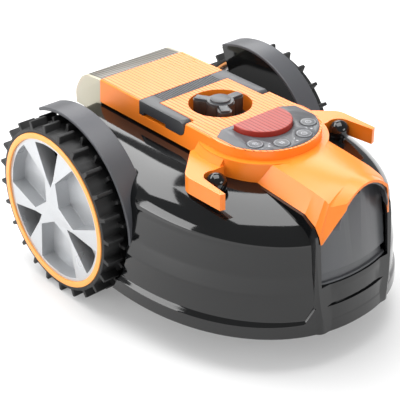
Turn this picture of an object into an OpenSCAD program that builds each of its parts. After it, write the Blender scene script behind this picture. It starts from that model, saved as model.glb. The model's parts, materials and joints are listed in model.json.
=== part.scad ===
// Robotic lawn mower: two driven rear wheels, two front casters and a cutting disc
// with pivoting blades that a knob raises and lowers.
// Millimetres, +Z up. The mower drives towards -Y, so its right wheel is on -X.
// The origin lies on the ground under the middle of the overall box.

/* [Overall] */
// Overall length, from the front of the skirt to the back of the tyres
length = 474; // [460:1:490]
// Overall width over the two wheels
width = 398; // [392:1:406]

/* [Wheels] */
// Radius of the tyre over its lugs
tyre_r = 120; // [116:1:124]
// Width of the tyre
tyre_w = 48; // [44:1:50]
// Number of lugs in each of the two rows
lug_count = 24; // [20:1:28]
// Height of a lug above the tyre's carcass
lug_h = 10; // [8:0.5:12]
// Thickness of a lug at its tip
lug_tip_t = 4.6; // [4:0.1:6]
// Turn of the tyre at rest, so that no lug points exactly down
lug_phase = 2.5; // [2:0.1:3]
// Height of the tyre from the rim to the tips of its lugs
sidewall_h = 15; // [14:0.5:18]
// Width of the coloured face of the rim
rim_face_w = 7.5; // [6:0.5:9]
// How far the rim stands proud of the tyre's side
rim_proud = 1.5; // [1:0.1:2]
// Depth of the large pockets in the wheel's face
pocket_depth = 19; // [14:1:22]
// Radius of the drive axle
axle_r = 6; // [5:0.1:7]

/* [Body shell] */
// Wall thickness of the moulded shells
wall = 3; // [2.4:0.1:3.4]
// Height of the skirt's bottom edge above the ground
skirt_z = 50; // [46:1:54]
// Half width of the skirt at its widest
skirt_half_w = 184; // [181:0.5:187]
// Height of the flared lip along the skirt
lip_h = 16; // [12:1:20]
// How far the wall above the lip steps in
lip_step = 6; // [4:0.5:8]
// Height of the crease where the wall starts to lean inwards
belt_z = 108; // [104:1:112]
// Height of the leaning band above that crease
belt_h = 22; // [18:1:26]
// Height over which the wall rounds into the deck
crown_h = 47; // [42:1:52]
// Squareness of the body's outline in plan, 2 being an ellipse
outline_e = 2.2; // [2.1:0.05:2.4]
// Gap between the tyre and the fender
fender_gap = 6.5; // [5:0.5:7]
// Thickness of the fender
fender_t = 4.5; // [3.5:0.1:5]
// Width of the fender band outside the wheel well's wall
fender_w = 31; // [27:1:34]

/* [Top cover] */
// Half width of the cover at its top
cover_half_w = 71.4; // [70:0.2:73]
// Height of the cover's top
cover_top_z = 247; // [245:0.5:249]
// Height of the cover's top above the deck around it
cover_rise = 35; // [32:0.5:37]
// Radius of the control panel's round platform
panel_r = 72.5; // [71:0.5:74]
// Distance from the height knob forward to the centre of the control panel
panel_fore = 78; // [76:0.5:80]
// Height from the snout's ridge at its front up to the cover's top
snout_drop = 7; // [5:0.5:9]
// Half width of the snout at its foot
snout_half_w = 60; // [58:0.5:62]
// Half width of the flat top of the snout
snout_top_half_w = 47; // [45:0.5:49]
// Thickness of the two side claws, measured upwards
claw_t = 21; // [18:0.5:23]

/* [Cutting deck] */
// Distance from the drive axle forward to the cutting disc and the height knob
deck_fore = 101; // [99:0.5:103]
// Height of the blades above the ground in the lowest setting
cut_z = 20; // [18:0.5:24]
// How far the cutting deck can rise
cut_travel = 30; // [25:1:32]
// Turn of the height knob over that travel, in degrees
knob_turn = 270; // [240:10:300]
// Radius of the cutting disc
disc_r = 62; // [58:0.5:66]
// Number of blades on the disc
blade_count = 3; // [3:1:3]
// Length of a blade from its pivot to its tip
blade_reach = 28; // [24:0.5:30]
// Radius of the cutting motor
motor_r = 34; // [30:0.5:35]

/* [Controls] */
// Radius of the height knob over its lobes
knob_r = 37; // [34:0.5:38]
// Radius of the round front of the stop button
stop_r = 38.7; // [36:0.1:40]
// How far the stop button can be pressed
stop_travel = 4; // [3:0.5:5]
// Radius of a panel key
key_r = 10.4; // [9:0.1:10.6]
// How far a panel key can be pressed
key_travel = 0.8; // [0.6:0.1:1]

/* [Casters] */
// Radius of a caster's wheel
caster_r = 22; // [20:0.5:22.5]
// Width of a caster's wheel
caster_w = 18; // [16:0.5:20]
// Distance from the swivel axis back to the wheel's axle
caster_trail = 14; // [12:0.5:16]
// Distance of each caster from the middle
caster_x = 62; // [58:1:66]

/* [Fits] */
// Radial clearance of a shaft that turns or slides in a bore
run_fit = 0.05; // [0.03:0.01:0.08]
// Gap between parts that move past each other in the open
move_gap = 0.6; // [0.5:0.05:0.8]

/* [Hidden] */

eps = 0.01;
far = 400;

orange = "#f58a2c";
gloss_black = "#1c1d1f";
grey = "#5d5f63";
silver = "#b9bbbe";
steel = "#9a9da1";
black_rubber = "#161616";
smoke = "#8d8778";
red = "#b9301f";
green = "#1f5a3a";
pack_grey = "#3a3b3e";
lens_dark = "#30343a";

// ---- Stations: wheels and body -------------------------------------------
front_y = -length / 2;
axle_y = length / 2 - tyre_r;
lug_tip_angle = asin(lug_tip_t / 2 / tyre_r);
axle_z = tyre_r * cos(lug_phase - lug_tip_angle);
rim_r = tyre_r - sidewall_h;
wheel_out_x = width / 2;
tyre_out_x = wheel_out_x - rim_proud;
tyre_in_x = tyre_out_x - tyre_w;

dome_y = axle_y - 115;
skirt_depth = dome_y - front_y;
rear_y = axle_y + 97;
well_x = tyre_in_x - 7.5;
fender_out_x = well_x + fender_w;
well_r = tyre_r + fender_gap;
fender_r = well_r + fender_t;
fender_rear_angle = 66;

deck_y = axle_y - deck_fore;
panel_y = deck_y - panel_fore;
cover_rear_y = rear_y - 39.6;
deck_z = cover_top_z - cover_rise;
shoulder_z = deck_z - crown_h;
snout_z = cover_top_z - snout_drop;

lip_top_z = skirt_z + lip_h;
belt_inset = [8, 4];
belt_lean = [6, 3];
shoulder_inset = [21, 9.5];
rear_inset = 12;
crown = [83, 130];
crown_rear = 24;
crown_steps = 6;
rear_corner_r = 40;

// Sections of the shell: height, inset at the sides, inset at the front, inset at the rear
shell_sections = concat(
    [[skirt_z, 0, 0, 0],
     [lip_top_z, 1, 0.5, 1],
     [lip_top_z + lip_step, lip_step, lip_step / 2, lip_step],
     [belt_z, belt_inset[0], belt_inset[1], belt_inset[0]],
     [belt_z + belt_h, belt_inset[0] + belt_lean[0], belt_inset[1] + belt_lean[1], rear_inset],
     [shoulder_z, shoulder_inset[0], shoulder_inset[1], rear_inset]],
    [for (i = [1:crown_steps]) let (t = 90 * i / crown_steps)
        [shoulder_z + (deck_z - shoulder_z) * sin(t),
         shoulder_inset[0] + crown[0] * (1 - cos(t)),
         shoulder_inset[1] + crown[1] * (1 - cos(t)),
         rear_inset + crown_rear * (1 - cos(t))]]);

// Height of the rounded deck over a point, found by halving the crown's angle
function dome_fill(x, y, t) = let (c = 1 - cos(t))
    pow(abs(x) / (skirt_half_w - shoulder_inset[0] - crown[0] * c), outline_e)
    + pow(abs(min(y - dome_y, 0)) / (skirt_depth - shoulder_inset[1] - crown[1] * c), outline_e);
function dome_z(x, y, lo = 0, hi = 90, n = 14) = let (mid = (lo + hi) / 2)
    n == 0 ? shoulder_z + (deck_z - shoulder_z) * sin(mid)
    : dome_fill(x, y, mid) < 1 ? dome_z(x, y, mid, hi, n - 1) : dome_z(x, y, lo, mid, n - 1);

// ---- Stations: nose, cover and panel -------------------------------------
seat = 0.3;
nose_half_w = snout_half_w + 4;
nose_foot_y = front_y + 5;
nose_tip = [front_y + 15.5, shoulder_z + 3];
recess_half_w = snout_half_w - 3;
recess_z = [belt_z + 6, deck_z + 14];
recess_y = nose_tip[0] + 18;

// Side profile of the nose from the skirt up, over its rounded top and back along the deck
nose_line = [
    [nose_foot_y, skirt_z], [nose_foot_y, skirt_z + 12], nose_tip,
    [nose_tip[0] + 2.5, shoulder_z + 16], [nose_tip[0] + 9, shoulder_z + 27],
    [nose_tip[0] + 24.5, deck_z - 10], [panel_y - 57, deck_z - 3], [panel_y, deck_z - 1]];

front_lip_half_w = [nose_half_w, nose_half_w + 10];
front_lip_z = [lip_top_z + 4, lip_top_z + 20];

collar_h = 3;
collar_w = 8;
collar_y = panel_y + 40;
hatch_half_w = cover_half_w - 8;
cover_foot_half_w = cover_half_w + 1.6;
cover_foot_z = deck_z + collar_h;
disc_foot_z = cover_top_z - 12;
claw_top_z = cover_top_z - 22;
claw_end_y = collar_y - 4;
claw_out_x = 131;
claw_tip = [claw_out_x - 1, panel_y - 68];
ledge_r = panel_r + 9;
ledge_z = disc_foot_z - 0.4;
post_x = 104;
post_y = panel_y - 32;
post_r = 13;
post_neck_r = 8;
post_ball_z = claw_top_z - 9;
post_foot_z = dome_z(post_x, post_y) + seat;

overlay_t = 0.8;
overlay_r = panel_r - 3;
overlay_back = [66, panel_y + 10, 49, panel_y + 21];
stop_y = panel_y + 3;
stop_back = 9;
stop_proud = 7.3;
stop_base_z = cover_top_z - 6;
key_ring_r = 56;
key_angles = [-52.5, -19.5, 19.5, 52.5];
board_z = cover_top_z - 19;
board_t = 1.6;
board_r = panel_r - wall - 3.5;
switch_h = 5;

knob_well_r = knob_r + 3.8;
knob_floor_z = cover_top_z - 28;
knob_z = [knob_floor_z + 1, cover_top_z + 2];
knob_cap_r = 13;
spindle_r = 5;

// ---- Stations: handle, battery and door ----------------------------------
handle_out_x = cover_half_w + 1;
handle_in_x = handle_out_x - 14.5;
handle_bar_y = [panel_y + 129.6, panel_y + 152.5];
handle_front_y = panel_y + 64;
handle_low_z = cover_top_z - 19;
handle_bar_h = 14;
handle_end_r = (cover_top_z - handle_low_z) / 2;
handle_pin_r = 3;
handle_pin_y = handle_front_y + handle_end_r;
handle_pin_z = handle_low_z + handle_end_r;
handle_swing = 100;
finger_notch = [handle_front_y + 36, handle_bar_y[1] - 8, 4.5];

door_t = 2.2;
door_barrel_r = 4.2;
door_pin_r = 1.5;
door_y = cover_rear_y + 0.6 + door_barrel_r;
door_z = cover_top_z - 5.7;
door_foot_z = door_z - 47.5;
door_half_w = cover_half_w;
lug_x = 48;
lug_w = 5;
lug_r = 2.6;

// Side profile of the door, from over its hinge to the foot of its rear wall
door_line = [
    [door_y, door_z + door_barrel_r], [door_y + 28, door_z + 1.6], [door_y + 36.2, door_z - 3.3],
    [door_y + 42.3, door_z - 10], [door_y + 48.2, door_z - 18.8], [door_y + 52.2, door_z - 27.2],
    [door_y + 53.2, door_z - 33.2], [door_y + 52.8, door_foot_z]];

bay_half_w = 61;
bay_y = [cover_rear_y - 1, cover_rear_y + 55];
bay_z = 116;
bay_top_z = door_z - 34;
pack_gap = 0.5;
pack_y = [door_y + lug_r + 1, bay_y[1] - wall - pack_gap];
pack_top_z = door_z - 10;

// ---- Stations: chassis, drive and cutting deck ---------------------------
base_z = skirt_z + 4;
base_wall_z = base_z + 34;
base_gap = 14;
base_half_w = well_x - wall - 3;
chamber_r = disc_r + 30;
chamber_top_z = cut_z + cut_travel + 54;
tower_r = [motor_r + 6.3, motor_r + 10];
tower_flange_r = tower_r[1] + 12;
carriage_z = [cut_z + 18, deck_z - 62];
carriage_r = tower_r[0] - 0.3;
tower_z = [chamber_top_z + wall, carriage_z[1] + cut_travel + 12];
key_rib = [6, 2.6];
motor_z = [carriage_z[0] + wall, carriage_z[0] + wall + 62];
shaft_r = 4;
spindle_z = [carriage_z[1] - 4, knob_z[1] - 8];
disc_t = 3;
blade_t = 0.8;
disc_z = cut_z + blade_t + 0.4;
pivot_r = disc_r - 9;
screw_r = 3;

gearbox_x = [78, base_half_w - wall - seat];
gearbox_boss_r = 14;
main_board_z = base_wall_z + 22;
main_board_y = [deck_y - chamber_r - 82, deck_y - chamber_r - 12];
board_posts = [for (s = [-1, 1], y = [main_board_y[0] + 8, main_board_y[1] - 8]) [s * 38, y]];
screw_points = [for (s = [-1, 1], p = [[92, front_y + 80], [132, panel_y - 10], [110, rear_y - 22]])
    [s * p[0], p[1]]];
pad_half = [40, 18];
pad_y = front_y + 60;

carcass_r = tyre_r - lug_h;
hub_r = rim_r - rim_face_w;
hub_z = [tyre_w - 37, tyre_w - 1];
hub_phase = 87;

stem_r = 6;
caster_y = panel_y - 60;
caster_boss_r = 12;
caster_pin_r = 3;
caster_leg_x = caster_w / 2 + 1;
fork_t = 3;
crown_z = [2 * caster_r + 2, base_z - 1];

// ---- Shared helpers ------------------------------------------------------
// Skins a solid over rings of equal length; the rings run up the solid, each
// counterclockwise as seen from its far end.
module loft(rings) {
    n = len(rings[0]);
    m = len(rings);
    sides = [for (i = [0:m - 2], j = [0:n - 1])
        let (k = (j + 1) % n)
        each [[i * n + j, (i + 1) * n + j, (i + 1) * n + k],
              [i * n + j, (i + 1) * n + k, i * n + k]]];
    bottom = [for (j = [0:n - 1]) j];
    top = [for (j = [n - 1:-1:0]) (m - 1) * n + j];
    polyhedron([for (r = rings) each r], concat(sides, [bottom, top]), convexity = 10);
}

// Ring of a mirror-symmetric section in a plane of constant y, given its right half
// from the bottom up; it is counterclockwise as seen from the front.
function y_ring(y, half) = concat(
    [for (p = half) [p[0], y, p[1]]],
    [for (i = [len(half) - 1:-1:0]) if (half[i][0] > 0) [-half[i][0], y, half[i][1]]]);

module on_side(side) { mirror([side < 0 ? 1 : 0, 0, 0]) children(); }

module tube(r_out, r_in, h, fn = 64) {
    difference() {
        cylinder(r = r_out, h = h, $fn = fn);
        translate([0, 0, -eps]) cylinder(r = r_in, h = h + 2 * eps, $fn = fn);
    }
}

// Cylinder along X, centred on (y, z), between two x values
module x_rod(r, x0, x1, y, z, fn = 48) {
    translate([x0, y, z]) rotate([0, 90, 0]) cylinder(r = r, h = x1 - x0, $fn = fn);
}

module box(lo, hi) { translate(lo) cube(hi - lo); }

// ---- Body outline --------------------------------------------------------
function power_arc(a, e) = sign(a) * pow(abs(a), 2 / e);

// Plan outline: a superellipse at the front and straight sides to a rounded rear
function plan(a, b, back, r, z, n = 36, m = 4) = concat(
    [for (i = [0:n]) let (t = 180 + 180 * i / n)
        [a * power_arc(cos(t), outline_e), dome_y + b * power_arc(sin(t), outline_e), z]],
    [for (i = [0:m]) let (t = 90 * i / m) [a - r + r * cos(t), back - r + r * sin(t), z]],
    [for (i = [0:m]) let (t = 90 + 90 * i / m) [r - a + r * cos(t), back - r + r * sin(t), z]]);

module shell_solid(inset) {
    lowest = inset > 0 ? skirt_z - 1 : skirt_z;
    loft([for (s = shell_sections)
        plan(skirt_half_w - s[1] - inset, skirt_depth - s[2] - inset,
             rear_y - s[3] - inset, rear_corner_r - inset,
             s[0] == skirt_z ? lowest : s[0] - inset)]);
}

// Cylinder of a wheel well, out from the given distance from the middle
module well_drum(r, x0, x1) {
    for (side = [-1, 1]) on_side(side) x_rod(r, x0, x1, axle_y, axle_z, 120);
}

// ---- Shell with its nose and fenders ---------------------------------------
module nose_block(inset) {
    r = 12;
    w = nose_half_w - inset;
    intersection() {
        translate([-w, 0, 0]) rotate([90, 0, 90]) linear_extrude(2 * w)
            polygon(concat([for (p = nose_line) [p[0] + inset, p[1] - inset]],
                           [[panel_y, skirt_z - inset]]));
        translate([0, 0, skirt_z - inset]) linear_extrude(deck_z) {
            for (s = [-1, 1]) translate([s * (w - r), nose_foot_y + inset + r]) circle(r, $fn = 48);
            translate([r - w, nose_foot_y + inset]) square([2 * (w - r), far]);
            translate([-w, nose_foot_y + inset + r]) square([2 * w, far]);
        }
    }
}

// Raised middle of the lip, in front of the nose
module front_lip() {
    w = front_lip_half_w;
    z = front_lip_z;
    outline = plan(skirt_half_w - 1.6, skirt_depth - 1.2, 0, rear_corner_r, 0);
    intersection() {
        translate([0, 0, skirt_z + 1]) linear_extrude(z[1] - skirt_z)
            polygon([for (p = outline) [p[0], p[1]]]);
        rotate([90, 0, 0]) linear_extrude(far) polygon([
            [-w[1], skirt_z + 1], [w[1], skirt_z + 1], [w[1], z[0]], [w[0], z[1]],
            [-w[0], z[1]], [-w[1], z[0]]]);
    }
}

// Low collar that the cover's foot stands on
module cover_collar() {
    w = cover_foot_half_w + collar_w;
    translate([0, 0, deck_z - 1]) linear_extrude(collar_h + 1)
        polygon([[-w, collar_y], [w, collar_y], [w, cover_rear_y], [w - 8, rear_y - 30],
                 [8 - w, rear_y - 30], [-w, cover_rear_y]]);
}

// Keeps the fender band in front of its rear end and above the skirt's edge
module fender_bounds() {
    difference() {
        box([-far / 2, dome_y - 60, skirt_z], [far / 2, rear_y, far]);
        for (side = [-1, 1]) on_side(side)
            translate([well_x, axle_y, axle_z]) rotate([fender_rear_angle, 0, 0])
                translate([0, 0, -far]) cube([far, far, far]);
    }
}

// Long bosses under the shell that the chassis screws bite into
module shell_bosses() {
    intersection() {
        for (p = screw_points) translate([p[0], p[1], base_z + wall])
            cylinder(r = 6, h = deck_z, $fn = 32);
        shell_solid(eps);
    }
}

module shell() {
    color(gloss_black) difference() {
        union() {
            difference() {
                union() {
                    shell_solid(0);
                    nose_block(0);
                    front_lip();
                }
                shell_solid(wall);
                nose_block(wall);
            }
            cover_collar();
            shell_bosses();
            intersection() {
                well_drum(fender_r, well_x - wall, fender_out_x);
                fender_bounds();
            }
            intersection() {
                well_drum(fender_r, fender_out_x - eps, skirt_half_w);
                shell_solid(0);
            }
        }
        well_drum(well_r, well_x, wheel_out_x + 10);
        well_drum(gearbox_boss_r + move_gap, well_x - wall - 1, well_x + 1);
        box([-hatch_half_w, panel_y - 40, deck_z - 30], [hatch_half_w, far, far]);
        box([-door_half_w - 1, cover_rear_y - 0.4, door_foot_z - 1], [door_half_w + 1, far, far]);
        box([-bay_half_w - 0.5, rear_y - 50, bay_z - 0.5], [bay_half_w + 0.5, far, far]);
        box([-recess_half_w, -far, recess_z[0]], [recess_half_w, recess_y, recess_z[1]]);
        for (side = [-1, 1]) translate([side * post_x, post_y, deck_z - 40])
            cylinder(r = post_neck_r, h = 60, $fn = 48);
        for (p = screw_points) translate([p[0], p[1], base_z]) cylinder(r = 2, h = wall + 14, $fn = 32);
        box([-skirt_half_w, rear_y - 60, skirt_z - 2], [skirt_half_w, far, base_z + 10]);
    }
}

// Rubber posts with a round head, which the claws reach round
module bumper_posts() {
    neck_z = post_foot_z + 4;
    color(black_rubber) for (side = [-1, 1]) translate([side * post_x, post_y, 0])
        rotate_extrude($fn = 64) polygon(concat(
            [[0, post_foot_z - 14], [post_neck_r, post_foot_z - 14], [post_neck_r, neck_z],
             [post_r, neck_z]],
            [for (t = [0:9:90]) [post_r * cos(t), post_ball_z + post_r * sin(t)]]));
}

// ---- Top cover -------------------------------------------------------------
function rect(w, y0, y1, z) = [[w, y1, z], [-w, y1, z], [-w, y0, z], [w, y0, z]];

module cover_box(inset) {
    loft([rect(cover_foot_half_w - inset, panel_y, cover_rear_y - inset, cover_foot_z - inset),
          rect(cover_half_w - inset, panel_y, cover_rear_y - inset, cover_top_z - 1.5 - inset),
          rect(cover_half_w - 1.5 - inset, panel_y, cover_rear_y - 0.5 - inset,
               cover_top_z - inset)]);
}

// Right half of a snout section: foot, flank, crease and arched top
function snout_half(foot, crease, top, inset) = concat(
    [[foot[0] - inset, foot[1] - (inset > 0 ? 90 : 0)], [foot[0] - inset, foot[1]]],
    [for (i = [4:-1:0]) let (f = i / 4)
        [(crease[0] - inset) * f, top - inset - (top - crease[1]) * f * f]]);

// Stations of the snout from the panel to its front: y, foot, crease and ridge height
snout_stations = [
    [panel_y, [snout_half_w, deck_z + 1], [snout_top_half_w, disc_foot_z], disc_foot_z],
    [nose_line[6][0], [snout_half_w, nose_line[6][1]], [snout_top_half_w, disc_foot_z - 0.5],
     disc_foot_z + 0.5],
    [(nose_line[5][0] + nose_line[6][0]) / 2, [snout_half_w, nose_line[6][1] - 3.6],
     [snout_top_half_w, disc_foot_z - 4], disc_foot_z + 1.5],
    [nose_line[5][0], [snout_half_w, nose_line[5][1]], [snout_top_half_w, disc_foot_z - 8.5],
     snout_z - 2],
    [nose_line[4][0] - 1, [snout_half_w - 0.5, nose_line[4][1]],
     [snout_top_half_w - 1, disc_foot_z - 12], snout_z - 1],
    [nose_line[3][0] - 1, [snout_half_w - 1.2, nose_line[3][1]],
     [snout_top_half_w - 1.4, disc_foot_z - 15], snout_z - 0.7],
    [nose_tip[0] - 1, [snout_half_w - 2, nose_tip[1] + 3], [snout_top_half_w - 2, disc_foot_z - 18],
     snout_z - 0.5],
    [front_y, [snout_half_w - 24, snout_z - 25], [snout_top_half_w - 13, snout_z - 16], snout_z]];

module snout(inset) {
    loft([for (s = snout_stations)
        y_ring(s[0] - (s[0] == front_y ? inset : 0),
               snout_half([s[1][0], s[1][1] + seat], s[2], s[3], inset))]);
}

module claw_plan() {
    root_x = cover_half_w - 16;
    hole_r = post_r + 2;
    corner_r = 20;
    polygon(concat(
        [[root_x, claw_end_y], [root_x, panel_y - 19]],
        [for (t = [120:-20:0]) [post_x + hole_r * cos(t), post_y + hole_r * sin(t)]],
        [[claw_tip[0] - 6.5, claw_tip[1] - 2], claw_tip],
        [for (t = [0:12:48]) [claw_out_x - corner_r * (1 - cos(t)),
                              panel_y - 15 + corner_r * sin(t)]],
        [[ledge_r + 4.5, claw_end_y]]));
}

// Ledge round the foot of the panel's platform, sloping down to the tops of the claws
module platform_ledge() {
    slope = 7;
    intersection() {
        translate([0, panel_y, deck_z - 4]) cylinder(r = ledge_r, h = ledge_z - deck_z + 4, $fn = 144);
        box([-far, -far, 0], [far, claw_end_y, far]);
    }
    intersection() {
        translate([0, panel_y, claw_top_z - 1])
            cylinder(r1 = ledge_r + slope, r2 = ledge_r - 1, h = ledge_z - claw_top_z + 1, $fn = 144);
        box([-far, panel_y - 17.5, 0], [far, claw_end_y - 0.5, far]);
    }
}

module claws() {
    for (side = [-1, 1]) on_side(side) difference() {
        translate([0, 0, claw_top_z - claw_t]) linear_extrude(claw_t) claw_plan();
        translate([post_x, post_y, 0]) cylinder(r = post_r + 1.6, h = far, $fn = 64);
        translate([0, 0, claw_top_z - claw_t - 1]) linear_extrude(claw_t - wall + 1)
            intersection() {
                offset(delta = -wall) claw_plan();
                translate([cover_foot_half_w + 2, -far]) square(2 * far);
            }
    }
}

module knob_well(grow) {
    translate([0, deck_y, knob_floor_z - grow])
        cylinder(r = knob_well_r + grow,
                 h = cover_top_z - knob_floor_z + grow + (grow > 0 ? -eps : 1), $fn = 96);
    if (grow == 0) translate([0, deck_y, knob_floor_z - wall - 1])
        cylinder(r = spindle_r + 2, h = wall + 2, $fn = 48);
}

module stop_outline(grow) {
    translate([0, stop_y]) intersection() {
        circle(stop_r + grow, $fn = 96);
        translate([-stop_r - grow, -2 * stop_r])
            square([2 * (stop_r + grow), 2 * stop_r + stop_back + grow]);
    }
}

module at_key(k) {
    translate([0, panel_y, 0]) rotate([0, 0, key_angles[k]]) translate([0, -key_ring_r, 0]) children();
}

module control_holes(gap) {
    translate([0, 0, cover_top_z - 12]) linear_extrude(24) stop_outline(gap);
    for (k = [0:3]) at_key(k) translate([0, 0, cover_top_z - 12]) cylinder(r = key_r + gap / 2, h = 24, $fn = 48);
}

// Bosses under the platform that hold the control board
module control_bosses() {
    for (t = [35, 145, 270]) translate([62 * cos(t), panel_y + 62 * sin(t), board_z + board_t])
        cylinder(r = 4, h = cover_top_z - wall - board_z - board_t + eps, $fn = 32);
}

module overlay_plate(gap, over) {
    b = overlay_back;
    translate([0, 0, cover_top_z - overlay_t / 2]) linear_extrude(overlay_t / 2 + over) intersection() {
        translate([0, panel_y]) circle(overlay_r + gap, $fn = 144);
        polygon([[-b[0] - gap, -far], [-b[0] - gap, b[1]], [-b[2], b[3] + gap],
                 [b[2], b[3] + gap], [b[0] + gap, b[1]], [b[0] + gap, -far]]);
    }
}

// Lugs on the cover's rear wall; each rises from below, so the door swings clear of it
module door_lugs() {
    for (s = [-1, 1]) {
        x = [s * lug_x - lug_w, s * lug_x + lug_w];
        x_rod(lug_r, x[0], x[1], door_y, door_z);
        box([x[0], door_y - lug_r, door_z - 13], [x[1], door_y + lug_r, door_z]);
        box([x[0], cover_rear_y - 1, door_z - 14], [x[1], door_y + lug_r, door_z - 10]);
    }
}

module top_cover() {
    color(orange) difference() {
        union() {
            difference() {
                union() {
                    cover_box(0);
                    translate([0, panel_y, disc_foot_z - 2])
                        cylinder(r = panel_r, h = cover_top_z - disc_foot_z + 2, $fn = 144);
                    platform_ledge();
                    snout(0);
                    claws();
                }
                difference() {
                    union() {
                        cover_box(wall);
                        translate([0, panel_y, cover_foot_z - 20])
                            cylinder(r = panel_r - wall, h = cover_top_z - wall - cover_foot_z + 20, $fn = 144);
                        intersection() {
                            translate([0, panel_y, 0])
                                cylinder(r = ledge_r - wall, h = ledge_z - wall, $fn = 144);
                            box([-far, -far, 0], [far, panel_y, far]);
                        }
                        snout(wall);
                        box([-cover_foot_half_w + wall, panel_y, cover_foot_z - 20],
                            [cover_foot_half_w - wall, cover_rear_y - wall, cover_foot_z]);
                    }
                    handle_channel(wall);
                    knob_well(wall);
                    control_bosses();
                }
            }
            door_lugs();
        }
        handle_channel(0);
        knob_well(0);
        control_holes(move_gap);
        overlay_plate(0.1, 2);
        handle_pin_rods(handle_pin_r, 0);
        x_rod(door_pin_r, -door_half_w, door_half_w, door_y, door_z);
        shell_solid(-seat);
        nose_block(-seat);
    }
}

// ---- Control panel ---------------------------------------------------------
module panel_overlay() {
    color(grey) difference() {
        overlay_plate(0, overlay_t / 2);
        control_holes(move_gap);
    }
}

module stop_button() {
    switch_top_z = board_z + board_t + switch_h;
    color(red) {
        translate([0, 0, stop_base_z]) linear_extrude(cover_top_z + stop_proud - stop_base_z)
            stop_outline(0);
        translate([0, stop_y, switch_top_z + stop_travel + 0.1])
            cylinder(r = 6, h = stop_base_z - switch_top_z - stop_travel, $fn = 48);
    }
}

// Coil spring round the stop button's switch, drawn as its bellows-shaped envelope
module stop_spring() {
    h = stop_base_z - board_z - board_t - 0.2;
    turns = 4;
    color(steel) translate([0, stop_y, board_z + board_t]) rotate_extrude($fn = 48)
        polygon(concat([for (i = [0:2 * turns]) [10 + (i % 2) * 1.4, h * i / (2 * turns)]],
                       [for (i = [2 * turns:-1:0]) [8.8 + (i % 2) * 1.4, h * i / (2 * turns)]]));
}

module panel_key(k) {
    switch_top_z = board_z + board_t + switch_h;
    color(grey) at_key(k) {
        translate([0, 0, cover_top_z - 2]) cylinder(r = key_r, h = 3.2, $fn = 48);
        translate([0, 0, switch_top_z + key_travel + 0.1])
            cylinder(r = 3, h = cover_top_z - 2 - switch_top_z - key_travel, $fn = 32);
    }
}

module control_board() {
    color(green) difference() {
        translate([0, panel_y, board_z]) cylinder(r = board_r, h = board_t, $fn = 96);
        box([-far, panel_y + 30, board_z - 1], [far, far, board_z + 5]);
    }
    color(black_rubber) {
        for (k = [0:3]) at_key(k) translate([-3, -3, board_z + board_t]) cube([6, 6, switch_h]);
        translate([-6, stop_y - 6, board_z + board_t]) cube([12, 12, switch_h]);
    }
}

// ---- Carry handle ----------------------------------------------------------
module handle_form(gap) {
    out_x = handle_out_x + gap;
    in_x = handle_in_x - gap;
    for (side = [-1, 1]) on_side(side) {
        box([in_x, handle_pin_y, handle_low_z - gap], [out_x, handle_bar_y[1] + gap, cover_top_z]);
        x_rod(handle_end_r + gap, in_x, out_x, handle_pin_y, handle_pin_z, 64);
    }
    box([-out_x, handle_bar_y[0] - gap, cover_top_z - handle_bar_h - gap],
        [out_x, handle_bar_y[1] + gap, cover_top_z]);
}

// Room in front of the hinges for the arms, which swing past upright
module handle_swing_room(gap) {
    lean = handle_swing - 90;
    r = (handle_end_r + gap) / cos(lean);
    h = cover_top_z + 2 - handle_pin_z;
    for (side = [-1, 1]) on_side(side)
        translate([handle_in_x - gap, handle_pin_y, handle_pin_z])
            rotate([90, 0, 90]) linear_extrude(handle_out_x - handle_in_x + 2 * gap)
                polygon([[0, 0], [0, h], [-r - h * tan(lean), h], [-r, 0]]);
}

module handle_channel(grow) {
    if (grow > 0) difference() {
        union() {
            translate([0, 0, -eps]) handle_form(grow + move_gap);
            handle_swing_room(grow + move_gap);
        }
        box([-far, -far, cover_top_z - eps], [far, far, far]);
        box([cover_half_w, -far, 0], [far, far, far]);
        box([-far, -far, 0], [-cover_half_w, far, far]);
    }
    else {
        handle_form(move_gap);
        translate([0, 0, 2]) handle_form(move_gap);
        handle_swing_room(move_gap);
    }
}

module handle_pin_rods(r, over) {
    for (side = [-1, 1]) on_side(side)
        x_rod(r, handle_in_x - move_gap - wall, handle_out_x - 2 + over, handle_pin_y, handle_pin_z);
}

module handle_pins() { color(steel) handle_pin_rods(handle_pin_r, 0); }

module carry_handle() {
    rib_pitch = 3.6;
    rib_count = 27;
    color(grey) difference() {
        handle_form(0);
        handle_pin_rods(handle_pin_r + run_fit, 0.5);
        for (i = [0:rib_count - 1])
            translate([(i - rib_count / 2) * rib_pitch, handle_bar_y[0] - 1, cover_top_z - 0.8])
                cube([1.4, handle_bar_y[1] - handle_bar_y[0] + 2, 1]);
        box([-far, finger_notch[0], handle_low_z - 1],
            [far, finger_notch[1], handle_low_z + finger_notch[2]]);
    }
}

// ---- Battery, its bay and its door -----------------------------------------
module door_side(inset) {
    front = door_y - door_barrel_r - (inset > 0 ? 1 : 0);
    polygon(concat([for (p = door_line) [p[0] - inset * (p[0] > door_y ? 1 : 0), p[1] - inset]],
                   [[door_line[7][0] - inset, door_foot_z - inset],
                    [front, door_foot_z - inset], [front, door_z - inset]]));
}

module battery_door() {
    w = door_half_w;
    color(smoke) difference() {
        union() {
            translate([-w, 0, 0]) rotate([90, 0, 90]) linear_extrude(2 * w) door_side(0);
            x_rod(door_barrel_r, -w, w, door_y, door_z);
        }
        difference() {
            translate([door_t - w, 0, 0]) rotate([90, 0, 90]) linear_extrude(2 * (w - door_t))
                door_side(door_t);
            x_rod(door_barrel_r, -w, w, door_y, door_z);
        }
        x_rod(door_pin_r + run_fit, door_t - w, w - door_t, door_y, door_z);
        for (s = [-1, 1])
            box([s * lug_x - lug_w - move_gap, door_y - 6, door_z - 6],
                [s * lug_x + lug_w + move_gap, door_y + lug_r + move_gap, door_z + lug_r + 0.5]);
    }
}

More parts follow.
